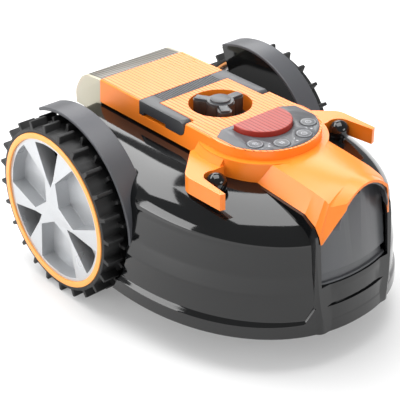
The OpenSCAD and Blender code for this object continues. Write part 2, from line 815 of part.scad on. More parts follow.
module door_pin() {
    color(steel) x_rod(door_pin_r, 1 + door_t - door_half_w, door_half_w - door_t - 1, door_y, door_z);
}

module battery_bay() {
    chamfer = 8;
    color(gloss_black) difference() {
        loft([rect(bay_half_w - chamfer, bay_y[0], bay_y[1] - chamfer, bay_z),
              rect(bay_half_w, bay_y[0], bay_y[1], bay_z + chamfer),
              rect(bay_half_w, bay_y[0], bay_y[1], bay_top_z)]);
        box([wall - bay_half_w, bay_y[0] + wall, bay_z + chamfer],
            [bay_half_w - wall, bay_y[1] - wall, far]);
    }
    // Ribs that hold the pack clear of the door's lugs
    color(gloss_black) for (s = [-1, 1])
        box([s * 30 - 2, bay_y[0] + 1, bay_z + chamfer - 1], [s * 30 + 2, pack_y[0] - pack_gap, bay_top_z - 20]);
}

module battery_pack() {
    x = bay_half_w - wall - pack_gap;
    y0 = pack_y[0];
    y1 = pack_y[1];
    color(pack_grey) difference() {
        union() {
            box([-x, y0, bay_z + 8], [x, y1, bay_top_z - 6]);
            box([6 - x, y0 + 1, bay_top_z - 7], [x - 6, y1 - 9, pack_top_z]);
        }
        box([-22, y0 + 10, pack_top_z - 9], [22, y1 - 18, pack_top_z + 1]);
    }
}

// ---- Chassis ---------------------------------------------------------------
module base_plan(inset) {
    a = skirt_half_w - base_gap - inset;
    b = skirt_depth - base_gap - inset;
    intersection() {
        polygon([for (p = plan(a, b, rear_y - lip_step - wall - 3 - inset, 30, 0)) [p[0], p[1]]]);
        union() {
            translate([-far, -far]) square([2 * far, far + axle_y - well_r - 14 - inset]);
            translate([inset - base_half_w, -far]) square([2 * (base_half_w - inset), 2 * far]);
        }
    }
}

module chassis_base() {
    color(grey) difference() {
        union() {
            difference() {
                translate([0, 0, base_z]) linear_extrude(base_wall_z - base_z) base_plan(0);
                translate([0, 0, base_z + wall]) linear_extrude(base_wall_z) base_plan(wall);
            }
            translate([0, deck_y, base_z])
                cylinder(r = chamber_r + wall, h = chamber_top_z + wall - base_z, $fn = 120);
            for (side = [-1, 1]) {
                translate([side * caster_x, caster_y, base_z])
                    cylinder(r = caster_boss_r, h = base_wall_z + 6 - base_z, $fn = 64);
                translate([side * 34, bay_y[0] + 16, base_z])
                    cylinder(r = 9, h = bay_z - base_z, $fn = 48);
            }
            // Pad for the head of a service stand
            box([-pad_half[0], pad_y - pad_half[1], base_z - 2], [pad_half[0], pad_y + pad_half[1], base_z + 1]);
            for (p = board_posts) translate([p[0], p[1], base_z])
                cylinder(r = 5, h = main_board_z - base_z, $fn = 32);
        }
        translate([0, deck_y, base_z - 1])
            cylinder(r = chamber_r, h = chamber_top_z - base_z + 1, $fn = 120);
        translate([0, deck_y, base_z]) cylinder(r = tower_r[0] + 0.7, h = far, $fn = 96);
        for (side = [-1, 1]) translate([side * caster_x, caster_y, base_z - 1])
            cylinder(r = stem_r + run_fit, h = far, $fn = 48);
        for (p = screw_points) translate([p[0], p[1], base_z - 1]) cylinder(r = 2.2, h = wall + 2, $fn = 32);
    }
}

module chassis_screws() {
    head_h = 2.3;
    color(steel) for (p = screw_points) translate([p[0], p[1], base_z - head_h]) difference() {
        union() {
            cylinder(r = 4, h = head_h, $fn = 32);
            cylinder(r = 2, h = head_h + wall + 10, $fn = 32);
        }
        translate([0, 0, -eps]) cylinder(r = 1.8, h = 1.4, $fn = 6);
    }
}

// Main circuit board on posts in front of the cutting chamber
module main_board() {
    top = main_board_z + board_t;
    y = main_board_y;
    color(green) box([-46, y[0], main_board_z], [46, y[1], top]);
    color(black_rubber) {
        box([-36, y[0] + 14, top], [-12, y[0] + 38, top + 3]);
        for (i = [0:3]) box([4 + 9 * i, y[1] - 20, top], [10 + 9 * i, y[1] - 8, top + 9]);
    }
    color(silver) for (i = [0:2]) translate([8 + 13 * i, y[0] + 24, top])
        cylinder(r = 5, h = 14, $fn = 32);
}

// ---- Cutting deck ----------------------------------------------------------
// Tube over the cutting chamber that guides the motor carriage up and down
module guide_tower() {
    color(gloss_black) translate([0, deck_y, 0]) difference() {
        union() {
            translate([0, 0, tower_z[0]]) cylinder(r = tower_flange_r, h = 3, $fn = 96);
            translate([0, 0, tower_z[0]])
                cylinder(r = tower_r[1], h = tower_z[1] - tower_z[0] + 4, $fn = 96);
            for (t = [45:90:315]) rotate([0, 0, t]) translate([tower_r[1] - 1, -1.5, tower_z[0]])
                rotate([90, 0, 0]) translate([0, 0, -3]) linear_extrude(3)
                    polygon([[0, 0], [12, 0], [12, 4], [0, 30]]);
        }
        translate([0, 0, tower_z[0] - 1])
            cylinder(r = tower_r[0], h = tower_z[1] - tower_z[0] + 1, $fn = 96);
        translate([-key_rib[0] / 2 - 0.3, 0, tower_z[0] - 1])
            cube([key_rib[0] + 0.6, tower_r[0] + key_rib[1], tower_z[1] - tower_z[0] + 1]);
        cylinder(r = spindle_r + run_fit, h = far, $fn = 48);
    }
}

module motor_carriage() {
    color(gloss_black) translate([0, deck_y, 0]) difference() {
        union() {
            translate([0, 0, carriage_z[0]])
                cylinder(r = carriage_r, h = carriage_z[1] - carriage_z[0], $fn = 96);
            translate([-key_rib[0] / 2, 0, carriage_z[1] - 36])
                cube([key_rib[0], carriage_r + key_rib[1] - 0.3, 36]);
        }
        translate([0, 0, carriage_z[0] + wall])
            cylinder(r = motor_r, h = carriage_z[1] - carriage_z[0] - wall - 6, $fn = 96);
        translate([0, 0, carriage_z[0] - 1]) cylinder(r = 14, h = wall + 2, $fn = 64);
        cylinder(r = spindle_r + run_fit, h = far, $fn = 48);
    }
}

module cutting_motor() {
    color(steel) translate([0, deck_y, 0]) difference() {
        union() {
            translate([0, 0, motor_z[0]]) cylinder(r = motor_r, h = motor_z[1] - motor_z[0], $fn = 96);
            translate([0, 0, motor_z[0] - wall - 1]) cylinder(r = 13, h = wall + 2, $fn = 64);
            translate([0, 0, motor_z[1] - 1]) cylinder(r = 11, h = 5, $fn = 48);
        }
        cylinder(r = shaft_r + run_fit, h = motor_z[0] + 30, $fn = 48);
        for (t = [0:30:330]) rotate([0, 0, t]) translate([motor_r - 3, -1.5, motor_z[1] - 14])
            cube([5, 3, 10]);
    }
}

module at_blade(k) {
    translate([0, deck_y, 0]) rotate([0, 0, 90 + 360 * k / blade_count])
        translate([pivot_r, 0, 0]) children();
}

module blade_disc() {
    color(grey) difference() {
        union() {
            translate([0, deck_y, disc_z]) {
                cylinder(r = disc_r, h = disc_t, $fn = 120);
                tube(disc_r, disc_r - 3, disc_t + 3, 120);
                cylinder(r = 15, h = carriage_z[0] - disc_z - 5, $fn = 64);
                for (t = [30:60:330]) rotate([0, 0, t]) translate([14, -1.5, 0])
                    cube([pivot_r - 22, 3, disc_t + 3]);
            }
            translate([0, deck_y, disc_z + disc_t])
                cylinder(r = shaft_r, h = motor_z[0] + 24 - disc_z - disc_t, $fn = 48);
        }
        for (t = [0:60:300]) translate([0, deck_y, 0]) rotate([0, 0, t]) translate([32, 0, 0])
            cylinder(r = 8, h = 60, $fn = 48);
        for (k = [0:blade_count - 1]) at_blade(k) cylinder(r = screw_r, h = 60, $fn = 32);
    }
}

module blade_screws() {
    nut_z = disc_z + disc_t + 3;
    color(steel) for (k = [0:blade_count - 1]) at_blade(k) difference() {
        union() {
            translate([0, 0, cut_z - 2.4]) cylinder(r = 5.5, h = 2, $fn = 32);
            translate([0, 0, cut_z - 1]) cylinder(r = screw_r, h = nut_z + 1 - cut_z, $fn = 32);
            translate([0, 0, disc_z + disc_t]) cylinder(r = 4.5, h = 2.4, $fn = 6);
        }
        translate([-3, -0.6, cut_z - 3]) cube([6, 1.2, 1.4]);
    }
}

module blade(k) {
    w = 9;
    color(silver) at_blade(k) translate([0, 0, cut_z]) difference() {
        linear_extrude(blade_t) polygon([
            [-6, -w + 2], [blade_reach - 4, -w], [blade_reach, -w + 3], [blade_reach, w - 3],
            [blade_reach - 4, w], [-6, w - 2], [-8, w - 5], [-8, 5 - w]]);
        translate([0, 0, -1]) cylinder(r = screw_r + run_fit, h = blade_t + 2, $fn = 48);
    }
}

// ---- Height knob -----------------------------------------------------------
module height_knob() {
    arm_w = 18;
    arm_r = knob_r - arm_w / 2 - 1;
    color(black_rubber) translate([0, deck_y, knob_z[0]]) difference() {
        union() {
            cylinder(r = knob_r, h = 7, $fn = 96);
            cylinder(r = knob_cap_r + 5, h = knob_z[1] - knob_z[0], $fn = 64);
            for (t = [0:120:240]) rotate([0, 0, t]) {
                translate([0, 1 - arm_w / 2, 0]) cube([arm_r, arm_w - 2, knob_z[1] - knob_z[0]]);
                translate([arm_r, 0, 0]) cylinder(r = arm_w / 2, h = knob_z[1] - knob_z[0], $fn = 48);
            }
        }
        translate([0, 0, -1]) cylinder(r = spindle_r, h = spindle_z[1] - knob_z[0] + 1, $fn = 48);
    }
}

// Raised three-armed plate and the round cap on top of the knob
module knob_grip() {
    arm_w = 11;
    color(grey) translate([0, deck_y, knob_z[1]]) {
        cylinder(r = knob_cap_r + 4, h = 2.6, $fn = 64);
        for (t = [0:120:240]) rotate([0, 0, t]) translate([0, -arm_w / 2, 0])
            cube([knob_r - 4, arm_w, 2.6]);
        cylinder(r = knob_cap_r, h = 5, $fn = 64);
    }
}

module height_spindle() {
    color(steel) translate([0, deck_y, spindle_z[0]])
        cylinder(r = spindle_r, h = spindle_z[1] - spindle_z[0], $fn = 48);
}

// ---- Drive -----------------------------------------------------------------
module gearbox(side) {
    x = gearbox_x;
    color(gloss_black) on_side(side) difference() {
        union() {
            box([x[0], axle_y - 30, base_z + wall], [x[1], axle_y + 34, axle_z + 6]);
            x_rod(34, x[0], x[1], axle_y, axle_z, 96);
            x_rod(gearbox_boss_r, x[1] - 1, well_x + 4, axle_y, axle_z, 64);
        }
        x_rod(axle_r + run_fit, x[0] + 10, well_x + 6, axle_y, axle_z);
        box([x[0] + 4, axle_y - 26, base_z], [x[1] - 4, axle_y + 30, axle_z - 24]);
    }
}

module drive_motor(side) {
    r = 16;
    color(steel) on_side(side) {
        x_rod(r, gearbox_x[0] - 34, gearbox_x[0], axle_y, axle_z, 64);
        x_rod(7, gearbox_x[0] - 38, gearbox_x[0] - 33, axle_y, axle_z, 48);
    }
}

// ---- Wheels ----------------------------------------------------------------
// Places a wheel part drawn with its axis on +Z and its inner side at z = 0
module at_wheel(side) {
    on_side(side) translate([tyre_in_x, axle_y, axle_z]) rotate([0, 90, 0]) children();
}

// A direction measured from +Y towards +Z, as the wheel part's own angle
function wheel_angle(a) = a + 90;
function polar(r, a) = [r * cos(a), r * sin(a)];

module lug_ring(phase) {
    tip_x = sqrt(tyre_r * tyre_r - lug_tip_t * lug_tip_t / 4);
    difference() {
        union() {
            circle(carcass_r, $fn = 144);
            for (k = [0:lug_count - 1]) rotate([0, 0, wheel_angle(phase + 360 * k / lug_count)])
                polygon([[carcass_r - 4, -lug_tip_t * 0.75], [tip_x, -lug_tip_t / 2],
                         [tip_x, lug_tip_t / 2], [carcass_r - 4, lug_tip_t * 0.75]]);
        }
        circle(rim_r, $fn = 144);
    }
}

// Tyre with two rows of lugs, the outer row turned by half a pitch
module tyre(side) {
    half = tyre_w / 2;
    color(black_rubber) at_wheel(side) {
        linear_extrude(half) lug_ring(180 / lug_count - lug_phase);
        translate([0, 0, half]) linear_extrude(half) lug_ring(-lug_phase);
    }
}

module rim(side) {
    face_z = tyre_w - 9;
    color(orange) at_wheel(side) {
        tube(rim_r, rim_r - 4, face_z + 1, 144);
        translate([0, 0, face_z]) tube(rim_r, hub_r, tyre_w + rim_proud - face_z, 144);
    }
}

// Outline of a pocket in the wheel's face, pointing along +X from its inner tip
module pocket(tip_r, knee, rim_pocket_r, rim_a) {
    polygon(concat([polar(tip_r, 0), polar(knee[0], -knee[1])],
                   [for (i = [-5:5]) polar(rim_pocket_r, rim_a * i / 5)],
                   [polar(knee[0], knee[1])]));
}

module hub(side) {
    pocket_r = hub_r - 5;
    web_z = hub_z[1] - pocket_depth - wall;
    color(silver) at_wheel(side) difference() {
        union() {
            translate([0, 0, web_z]) cylinder(r = hub_r, h = hub_z[1] - web_z, $fn = 144);
            translate([0, 0, 4]) cylinder(r = 22, h = hub_z[1] - 4, $fn = 64);
            translate([0, 0, hub_z[0]]) tube(rim_r - 4, pocket_r + 1.5, web_z - hub_z[0] + 5, 144);
        }
        for (k = [0:2]) rotate([0, 0, wheel_angle(hub_phase + 120 * k)]) {
            rotate([0, 0, 60]) translate([0, 0, hub_z[1] - pocket_depth]) linear_extrude(far)
                pocket(16, [44, 45], pocket_r, 25);
            translate([0, 0, hub_z[0] - 9]) linear_extrude(far) pocket(33, [46, 9], pocket_r, 15.5);
        }
        translate([0, 0, -1]) cylinder(r = axle_r, h = hub_z[1] - pocket_depth - 3, $fn = 48);
    }
}

module axle(side) {
    color(steel) on_side(side)
        x_rod(axle_r, gearbox_x[0] + 12, tyre_in_x + hub_z[1] - pocket_depth - 4, axle_y, axle_z);
}

// ---- Casters ---------------------------------------------------------------
module at_caster(side) { translate([side * caster_x, caster_y, 0]) children(); }

module caster_fork(side) {
    x = caster_leg_x;
    color(gloss_black) at_caster(side) difference() {
        union() {
            translate([0, 0, crown_z[0]]) cylinder(r = x + fork_t, h = crown_z[1] - crown_z[0], $fn = 64);
            translate([0, 0, crown_z[1] - 1])
                cylinder(r = stem_r, h = base_wall_z + 11 - crown_z[1], $fn = 48);
            for (s = [-1, 1]) translate([s > 0 ? x : -x - fork_t, 0, 0]) rotate([90, 0, 90])
                linear_extrude(fork_t) polygon([
                    [caster_trail - 7, caster_r - 4], [caster_trail + 5, caster_r - 6],
                    [caster_trail + 8, caster_r + 3], [10, crown_z[1]], [-9, crown_z[1]], [-9, crown_z[0]]]);
        }
        x_rod(caster_pin_r, -40, 40, caster_trail, caster_r);
    }
}

module caster_pin(side) {
    x = caster_leg_x + fork_t;
    color(steel) at_caster(side) x_rod(caster_pin_r, -x, x, caster_trail, caster_r);
}

// Spring washer that keeps the fork's stem in its boss
module caster_clip(side) {
    color(steel) at_caster(side) translate([0, 0, base_wall_z + 6 + 0.3]) tube(9, stem_r, 1.5);
}

module caster_wheel(side) {
    w = caster_w;
    r = caster_r;
    color(black_rubber) at_caster(side) translate([-w / 2, caster_trail, r]) rotate([0, 90, 0])
        rotate_extrude($fn = 72) polygon([
            [caster_pin_r + run_fit, 0], [9, 0], [9, 3], [r - 7, 3], [r - 6, 1], [r - 3, 0.5],
            [r - 0.6, 3], [r, w / 2], [r - 0.6, w - 3], [r - 3, w - 0.5], [r - 6, w - 1],
            [r - 7, w - 3], [9, w - 3], [9, w], [caster_pin_r + run_fit, w]]);
}

// ---- Front sensor ----------------------------------------------------------
bezel_t = 2.4;
face_foot = [nose_foot_y + 3, recess_z[0] + 16];
face_bulge = 9;
lens_half_w = 8.5;
lens_r = 4.5;
lens_z = snout_z - 24;
lens_y = recess_y - 11.2;
face_lean = (lens_y - face_foot[0]) / (lens_z - face_foot[1]);

// Block whose front leans back and bulges towards its middle, set back by the given distance
module face_block(set_back, half_w, z0, z1) {
    n = 8;
    loft([for (z = [z0, z1]) concat(
        [for (i = [-n:n]) let (x = half_w * i / n)
            [x, face_foot[0] + set_back + face_lean * (z - face_foot[1])
                + face_bulge * pow(x / recess_half_w, 2), z]],
        [[half_w, recess_y + 40, z], [-half_w, recess_y + 40, z]])]);
}

// Window outline in the face, as a rod along Y
module lens_form(r, y0, y1) {
    for (s = [-1, 1]) translate([s * lens_half_w, y1, lens_z]) rotate([90, 0, 0])
        cylinder(r = r, h = y1 - y0, $fn = 48);
    box([-lens_half_w, y0, lens_z - r], [lens_half_w, y1, lens_z + r]);
}

// Panel in the recess: its face, the stepped foot under it and a lip that follows the snout's arch
module sensor_bezel() {
    w = recess_half_w - seat;
    z = recess_z[0] + seat;
    y = recess_y - seat;
    foot_z = face_foot[1];
    step = 5;
    color(grey) difference() {
        intersection() {
            box([-w, front_y + 3, z], [w, y, cover_top_z]);
            union() {
                intersection() {
                    snout(wall + seat);
                    union() {
                        face_block(0, recess_half_w, foot_z, cover_top_z);
                        difference() {
                            box([-far, front_y, lens_z - 26], [far, recess_y, cover_top_z]);
                            snout(wall + seat + bezel_t);
                        }
                    }
                }
                face_block(step, w - 4, z - 1, foot_z + 1);
                face_block(1.4, recess_half_w, z - 1, z + bezel_t);
                box([-far, y - bezel_t, z - 1], [far, recess_y, nose_line[4][1] - 4]);
            }
        }
        difference() {
            intersection() {
                snout(wall + seat + bezel_t);
                union() {
                    face_block(bezel_t, recess_half_w, foot_z + bezel_t, cover_top_z);
                    face_block(step + bezel_t, recess_half_w, z + bezel_t, foot_z + bezel_t + 1);
                }
            }
            // Ribs that carry the sensor's board
            for (s = [-1, 1])
                box([s * 16.5 - 1, front_y, lens_z - 6], [s * 16.5 + 1, recess_y, lens_z + 6]);
        }
        lens_form(lens_r, front_y, recess_y);
    }
}

module sensor_lens() {
    color(lens_dark) intersection() {
        lens_form(lens_r - 0.05, front_y, recess_y);
        difference() {
            face_block(0.3, recess_half_w, recess_z[0], cover_top_z);
            face_block(bezel_t - 0.3, recess_half_w + 1, recess_z[0] - 1, cover_top_z + 1);
        }
    }
}

module sensor_module() {
    y = recess_y - seat;
    color(black_rubber) {
        box([-15, y - 6, lens_z - 7], [15, y + 10, lens_z + 7]);
        box([-18, y + 0.05, lens_z - 8], [18, y + board_t, lens_z + 9]);
    }
}

// ---- Assembly --------------------------------------------------------------
chassis_base();
shell();
top_cover();
panel_overlay();
sensor_bezel();
sensor_lens();
sensor_module();
bumper_posts();
battery_bay();
battery_pack();
main_board();
control_board();
guide_tower();
gearbox(-1);  // right_gearbox
gearbox(1);  // left_gearbox
drive_motor(-1);  // right_drive_motor
drive_motor(1);  // left_drive_motor
stop_spring();
door_pin();
handle_pins();
chassis_screws();
tyre(-1);  // right_tyre
rim(-1);  // right_rim
hub(-1);  // right_hub
axle(-1);  // right_axle
tyre(1);  // left_tyre
rim(1);  // left_rim
hub(1);  // left_hub
axle(1);  // left_axle
motor_carriage();
cutting_motor();
blade_disc();
blade_screws();
blade(0);  // blade_1
blade(1);  // blade_2
blade(2);  // blade_3
caster_fork(-1);  // right_caster_fork
caster_wheel(-1);  // right_caster_wheel
caster_pin(-1);  // right_caster_pin
caster_clip(-1);  // right_caster_clip
caster_fork(1);  // left_caster_fork
caster_wheel(1);  // left_caster_wheel
caster_pin(1);  // left_caster_pin
caster_clip(1);  // left_caster_clip
height_knob();
knob_grip();
height_spindle();
stop_button();
panel_key(0);  // panel_key_1
panel_key(1);  // panel_key_2
panel_key(2);  // panel_key_3
panel_key(3);  // panel_key_4
carry_handle();
battery_door();
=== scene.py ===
"""Robotic lawn mower: the looks of its mouldings, rubber, metal and labels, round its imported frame.

The mower drives towards -Y, so its right wheel is on -X. Shapes are drawn in millimetres, and
to_object turns them into metres."""

import json
from math import copysign, cos, pi, radians, sin

import bmesh
import bpy
from mathutils import Matrix, Vector


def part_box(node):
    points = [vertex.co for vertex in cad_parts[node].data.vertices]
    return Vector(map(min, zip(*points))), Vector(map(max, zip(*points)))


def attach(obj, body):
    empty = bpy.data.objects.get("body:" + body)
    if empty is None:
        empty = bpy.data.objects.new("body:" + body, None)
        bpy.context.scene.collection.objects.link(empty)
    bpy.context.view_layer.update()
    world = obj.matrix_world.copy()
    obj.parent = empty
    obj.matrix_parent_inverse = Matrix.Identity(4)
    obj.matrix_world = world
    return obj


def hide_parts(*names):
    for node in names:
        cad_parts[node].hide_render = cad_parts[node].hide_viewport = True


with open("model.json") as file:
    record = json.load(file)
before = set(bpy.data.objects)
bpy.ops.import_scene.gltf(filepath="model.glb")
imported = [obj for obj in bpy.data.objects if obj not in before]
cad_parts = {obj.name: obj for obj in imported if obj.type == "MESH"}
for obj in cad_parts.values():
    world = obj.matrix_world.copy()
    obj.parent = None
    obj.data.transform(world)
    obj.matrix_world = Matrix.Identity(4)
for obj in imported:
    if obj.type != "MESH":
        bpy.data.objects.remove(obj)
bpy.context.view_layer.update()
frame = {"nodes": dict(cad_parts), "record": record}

# ---- Camera ----------------------------------------------------------------------------------
# A long lens from the mower's front right, 0.9 m up, held a quarter of a degree off level.
eye = Vector((-0.9155, -1.0100, 0.9045))
aim = Vector((-0.01317, 0.04094, 0.09912))
roll = radians(-0.23)


def facing(place, towards):
    """Matrix of a camera or lamp that stands at a place and looks towards a point."""
    turn = (towards - place).to_track_quat("-Z", "Y").to_matrix().to_4x4()
    return Matrix.Translation(place) @ turn


camera = bpy.data.objects.new("camera", bpy.data.cameras.new("camera"))
camera.data.lens, camera.data.sensor_width = 108, 36
camera.matrix_world = facing(eye, aim) @ Matrix.Rotation(roll, 4, "Z")
bpy.context.scene.collection.objects.link(camera)
bpy.context.scene.camera = camera
bpy.context.scene.view_settings.view_transform = "Standard"


# ---- Studio ----------------------------------------------------------------------------------
# A pale matt sweep under a white room, with softboxes above, behind, beside and in front. The
# card glows for the camera and for reflections, and less near the mower, so its shadow stays.
def linear(hex_colour):
    """Linear RGBA of an sRGB hex colour."""
    parts = [int(hex_colour[i:i + 2], 16) / 255 for i in (1, 3, 5)]
    return [c / 12.92 if c <= 0.04045 else ((c + 0.055) / 1.055) ** 2.4 for c in parts] + [1]


def new_material(name):
    """An empty node material; returns it with its tree."""
    material = bpy.data.materials.new(name)
    material.use_nodes = True
    material.node_tree.nodes.clear()
    material.node_tree.nodes.new("ShaderNodeOutputMaterial")
    return material, material.node_tree


def add_node(tree, kind, settings=None, links=None):
    """Adds a shader node. Settings are its properties or sockets; links feed its sockets."""
    made = tree.nodes.new("ShaderNode" + kind)
    for key, value in (settings or {}).items():
        if isinstance(key, str) and hasattr(made, key):
            setattr(made, key, value)
        else:
            made.inputs[key].default_value = value
    for key, source in (links or {}).items():
        output = source if isinstance(source, bpy.types.NodeSocket) else source.outputs[0]
        tree.links.new(output, made.inputs[key])
    return made


def show(tree, shader):
    """Joins a shader to the material's surface."""
    tree.links.new(shader.outputs[0], tree.nodes["Material Output"].inputs["Surface"])


floor_card, tree = new_material("matt_white_card")
ray = add_node(tree, "LightPath")
looked_at = add_node(tree, "Math", {"operation": "MAXIMUM"},
                     {0: ray.outputs["Is Camera Ray"], 1: ray.outputs["Is Glossy Ray"]})
away = add_node(tree, "VectorMath", {"operation": "LENGTH"},
                {0: add_node(tree, "TexCoord").outputs["Object"]})
fade = add_node(tree, "MapRange", {"From Min": 0.5, "From Max": 1.6, "To Min": 0.2, "To Max": 1.0},
                {"Value": away.outputs["Value"]})
brightness = add_node(tree, "Math", {"operation": "MULTIPLY"}, {0: looked_at, 1: fade})
lit = add_node(tree, "BsdfDiffuse", {"Color": linear("#c8c8c8")})
glow = add_node(tree, "Emission", {"Color": linear("#ffffff")}, {"Strength": brightness})
show(tree, add_node(tree, "AddShader", {}, {0: lit, 1: glow}))

floor_half = 30  # metres
bm = bmesh.new()
bmesh.ops.create_grid(bm, x_segments=1, y_segments=1, size=floor_half)
floor = bpy.data.objects.new("floor", bpy.data.meshes.new("floor"))
bm.to_mesh(floor.data)
bm.free()
floor.data.materials.append(floor_card)
bpy.context.scene.collection.objects.link(floor)

# The room is plain white where it is seen, and dimmer as a light and as a reflection
room = bpy.data.worlds.new("white_room")
bpy.context.scene.world = room
room.use_nodes = True
tree = room.node_tree
ray = add_node(tree, "LightPath")
seen = add_node(tree, "Math", {"operation": "MAXIMUM"},
                {0: ray.outputs["Is Camera Ray"], 1: ray.outputs["Is Transmission Ray"]})
fill = add_node(tree, "MapRange", {"To Min": 0.85, "To Max": 0.3},
                {"Value": ray.outputs["Is Glossy Ray"]})
strength = add_node(tree, "Math", {"operation": "MAXIMUM"}, {0: seen, 1: fill})
tree.nodes["Background"].inputs["Color"].default_value = linear("#ffffff")
tree.links.new(strength.outputs[0], tree.nodes["Background"].inputs["Strength"])


def softbox(name, place, towards, size, watts):
    """A rectangular area lamp that faces a point and isn't seen by the camera."""
    lamp = bpy.data.lights.new(name, "AREA")
    lamp.shape, lamp.energy = "RECTANGLE", watts
    lamp.size, lamp.size_y = size
    holder = bpy.data.objects.new(name, lamp)
    holder.visible_camera = False
    holder.matrix_world = facing(Vector(place), Vector(towards))
    bpy.context.scene.collection.objects.link(holder)


softbox("top_softbox", (0.05, 0.1, 1.55), (0, 0, 0.15), (1.2, 1.2), 23)
softbox("flank_softbox", (-0.3, 1.0, 1.3), (0, 0, 0.2), (1.3, 0.45), 11)
softbox("back_softbox", (1.0, 1.25, 1.05), (0, 0, 0.2), (1.0, 0.6), 9)
softbox("left_softbox", (-1.25, 0.45, 0.4), (-0.15, -0.05, 0.17), (0.7, 0.6), 8)
softbox("front_softbox", (0.5, -1.8, 0.9), (0, 0, 0.1), (0.9, 0.5), 7)


# ---- Body shell ------------------------------------------------------------------------------
# The black body is one deep hood of polished ABS, injection moulded 3 mm thick and screwed to
# the chassis from below. Its wall flares to a lip, leans in above a belt line and rounds over
# into a flat deck; the wheel wells, the hatch and the sensor recess are openings in the mould.
wall = 3
dome_y, skirt_half, skirt_reach, tail_y, tail_corner = 2, 184, 239, 214, 40
skirt_z, crown_z, deck_z = 50, 165, 212
crown_inset, crown_steps = (83, 130, 24), 16
plan_power = 2.2  # of the superellipse: 2 is an ellipse, more is squarer
nose_half, nose_corner, nose_foot, nose_back = 64, 12, -232, -62
sides = {"right": -1, "left": 1}
axle_y, axle_z = (1000 * (low + high) / 2
                  for low, high in list(zip(*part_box("right_tyre")))[1:])
well_x, well_r, fender_x, fender_r = 142, 126.5, 173, 131

# Rows of the wall, from the lip up: height, then insets at the side, the front and the rear.
# Those below the crown are creases; the crown rounds over in steps.
stations = [(skirt_z, 0, 0, 0), (66, 1, 0.5, 1), (72, 6, 3, 6), (108, 8, 4, 8), (130, 14, 7, 12),
            (crown_z, 21, 9.5, 12)]
creased_rows = range(1, len(stations))
crown_foot = stations[-1][1:]
for step in range(1, crown_steps + 1):
    t = pi / 2 * step / crown_steps
    insets = (foot + inset * (1 - cos(t)) for foot, inset in zip(crown_foot, crown_inset))
    stations.append((crown_z + (deck_z - crown_z) * sin(t), *insets))


def outline(side, front, rear):
    """Plan of the body: a superellipse at the front, and straight sides to a rounded tail."""
    def fuller(a):
        return copysign(abs(a) ** (2 / plan_power), a)

    arc_steps, corner_steps = 64, 6
    half, reach, back = skirt_half - side, skirt_reach - front, tail_y - rear
    points = [(half * fuller(cos(t)), dome_y + reach * fuller(sin(t)))
              for t in (pi + pi * i / arc_steps for i in range(arc_steps + 1))]
    for centre, start in ((half - tail_corner, 0), (tail_corner - half, pi / 2)):
        points += [(centre + tail_corner * cos(t), back - tail_corner + tail_corner * sin(t))
                   for t in (start + pi / 2 * i / corner_steps for i in range(corner_steps + 1))]
    return points


def raise_outlines(rows, soft=0):
    """A closed hood: one ring of vertices, extruded from row to row. Soft rounds its creases."""
    bm = bmesh.new()
    around = bm.verts.layers.int.new("around")
    ring = bmesh.ops.create_circle(bm, segments=len(outline(0, 0, 0)), radius=1)["verts"]
    for i, vert in enumerate(ring):
        vert[around] = i
    edges = list(bm.edges)
    creases = []
    for row, (z, *insets) in enumerate(rows):
        if row:
            made = bmesh.ops.extrude_edge_only(bm, edges=edges)["geom"]
            ring = [g for g in made if isinstance(g, bmesh.types.BMVert)]
            edges = [g for g in made if isinstance(g, bmesh.types.BMEdge)
                     and g.verts[0] in ring and g.verts[1] in ring]
        if row in creased_rows:
            creases += edges
        plan = outline(*insets)
        for vert in ring:
            vert.co = (*plan[vert[around]], z)
    if soft:
        bmesh.ops.bevel(bm, geom=creases, offset=soft, offset_type="OFFSET", segments=3,
                        profile=0.5, affect="EDGES", clamp_overlap=True, material=-1)
    bmesh.ops.holes_fill(bm, edges=[edge for edge in bm.edges if edge.is_boundary])
    bmesh.ops.recalc_face_normals(bm, faces=bm.faces)
    return bm


def to_object(name, bm):
    """Turns a mesh in millimetres into an object in metres."""
    bmesh.ops.scale(bm, vec=(0.001, 0.001, 0.001), verts=bm.verts)
    made = bpy.data.objects.new(name, bpy.data.meshes.new(name))
    bm.to_mesh(made.data)
    bm.free()
    bpy.context.scene.collection.objects.link(made)
    return made


def combine(target, operation, *tools):
    """Applies exact booleans with the tools, in order, and removes the tools."""
    for tool in tools:
        change = target.modifiers.new(operation.lower(), "BOOLEAN")
        change.operation, change.solver, change.object = operation, "EXACT", tool
    bpy.context.view_layer.update()
    finished = target.evaluated_get(bpy.context.evaluated_depsgraph_get())
    result = bpy.data.meshes.new_from_object(finished)
    target.modifiers.clear()
    target.data = result
    for tool in tools:
        bpy.data.objects.remove(tool)
    return target


def block(low, high):
    """A box between two corners."""
    bm = bmesh.new()
    low, high = Vector(low), Vector(high)
    bmesh.ops.create_cube(bm, size=1, matrix=Matrix.Translation((low + high) / 2)
                          @ Matrix.Diagonal((*(high - low), 1)))
    return to_object("block", bm)


def rod(radius, start, end, segments=160):
    """A round rod from one point to another."""
    bm = bmesh.new()
    start, end = Vector(start), Vector(end)
    turn = (end - start).to_track_quat("Z", "Y").to_matrix().to_4x4()
    bmesh.ops.create_cone(bm, cap_ends=True, segments=segments, radius1=radius, radius2=radius,
                          depth=(end - start).length,
                          matrix=Matrix.Translation((start + end) / 2) @ turn)
    return to_object("rod", bm)


def extrude(bm, vec):
    """Pulls every face of a flat mesh out along a vector, and closes it."""
    made = bmesh.ops.extrude_face_region(bm, geom=list(bm.faces))["geom"]
    bmesh.ops.translate(bm, vec=vec, verts=[g for g in made if isinstance(g, bmesh.types.BMVert)])
    bmesh.ops.recalc_face_normals(bm, faces=bm.faces)


def prism(points, depth, place):
    """A polygon extruded by the depth along +Z, then placed by a matrix."""
    bm = bmesh.new()
    bm.faces.new([bm.verts.new((*point, 0)) for point in points])
    extrude(bm, (0, 0, depth))
    bmesh.ops.transform(bm, matrix=place, verts=bm.verts)
    return to_object("prism", bm)


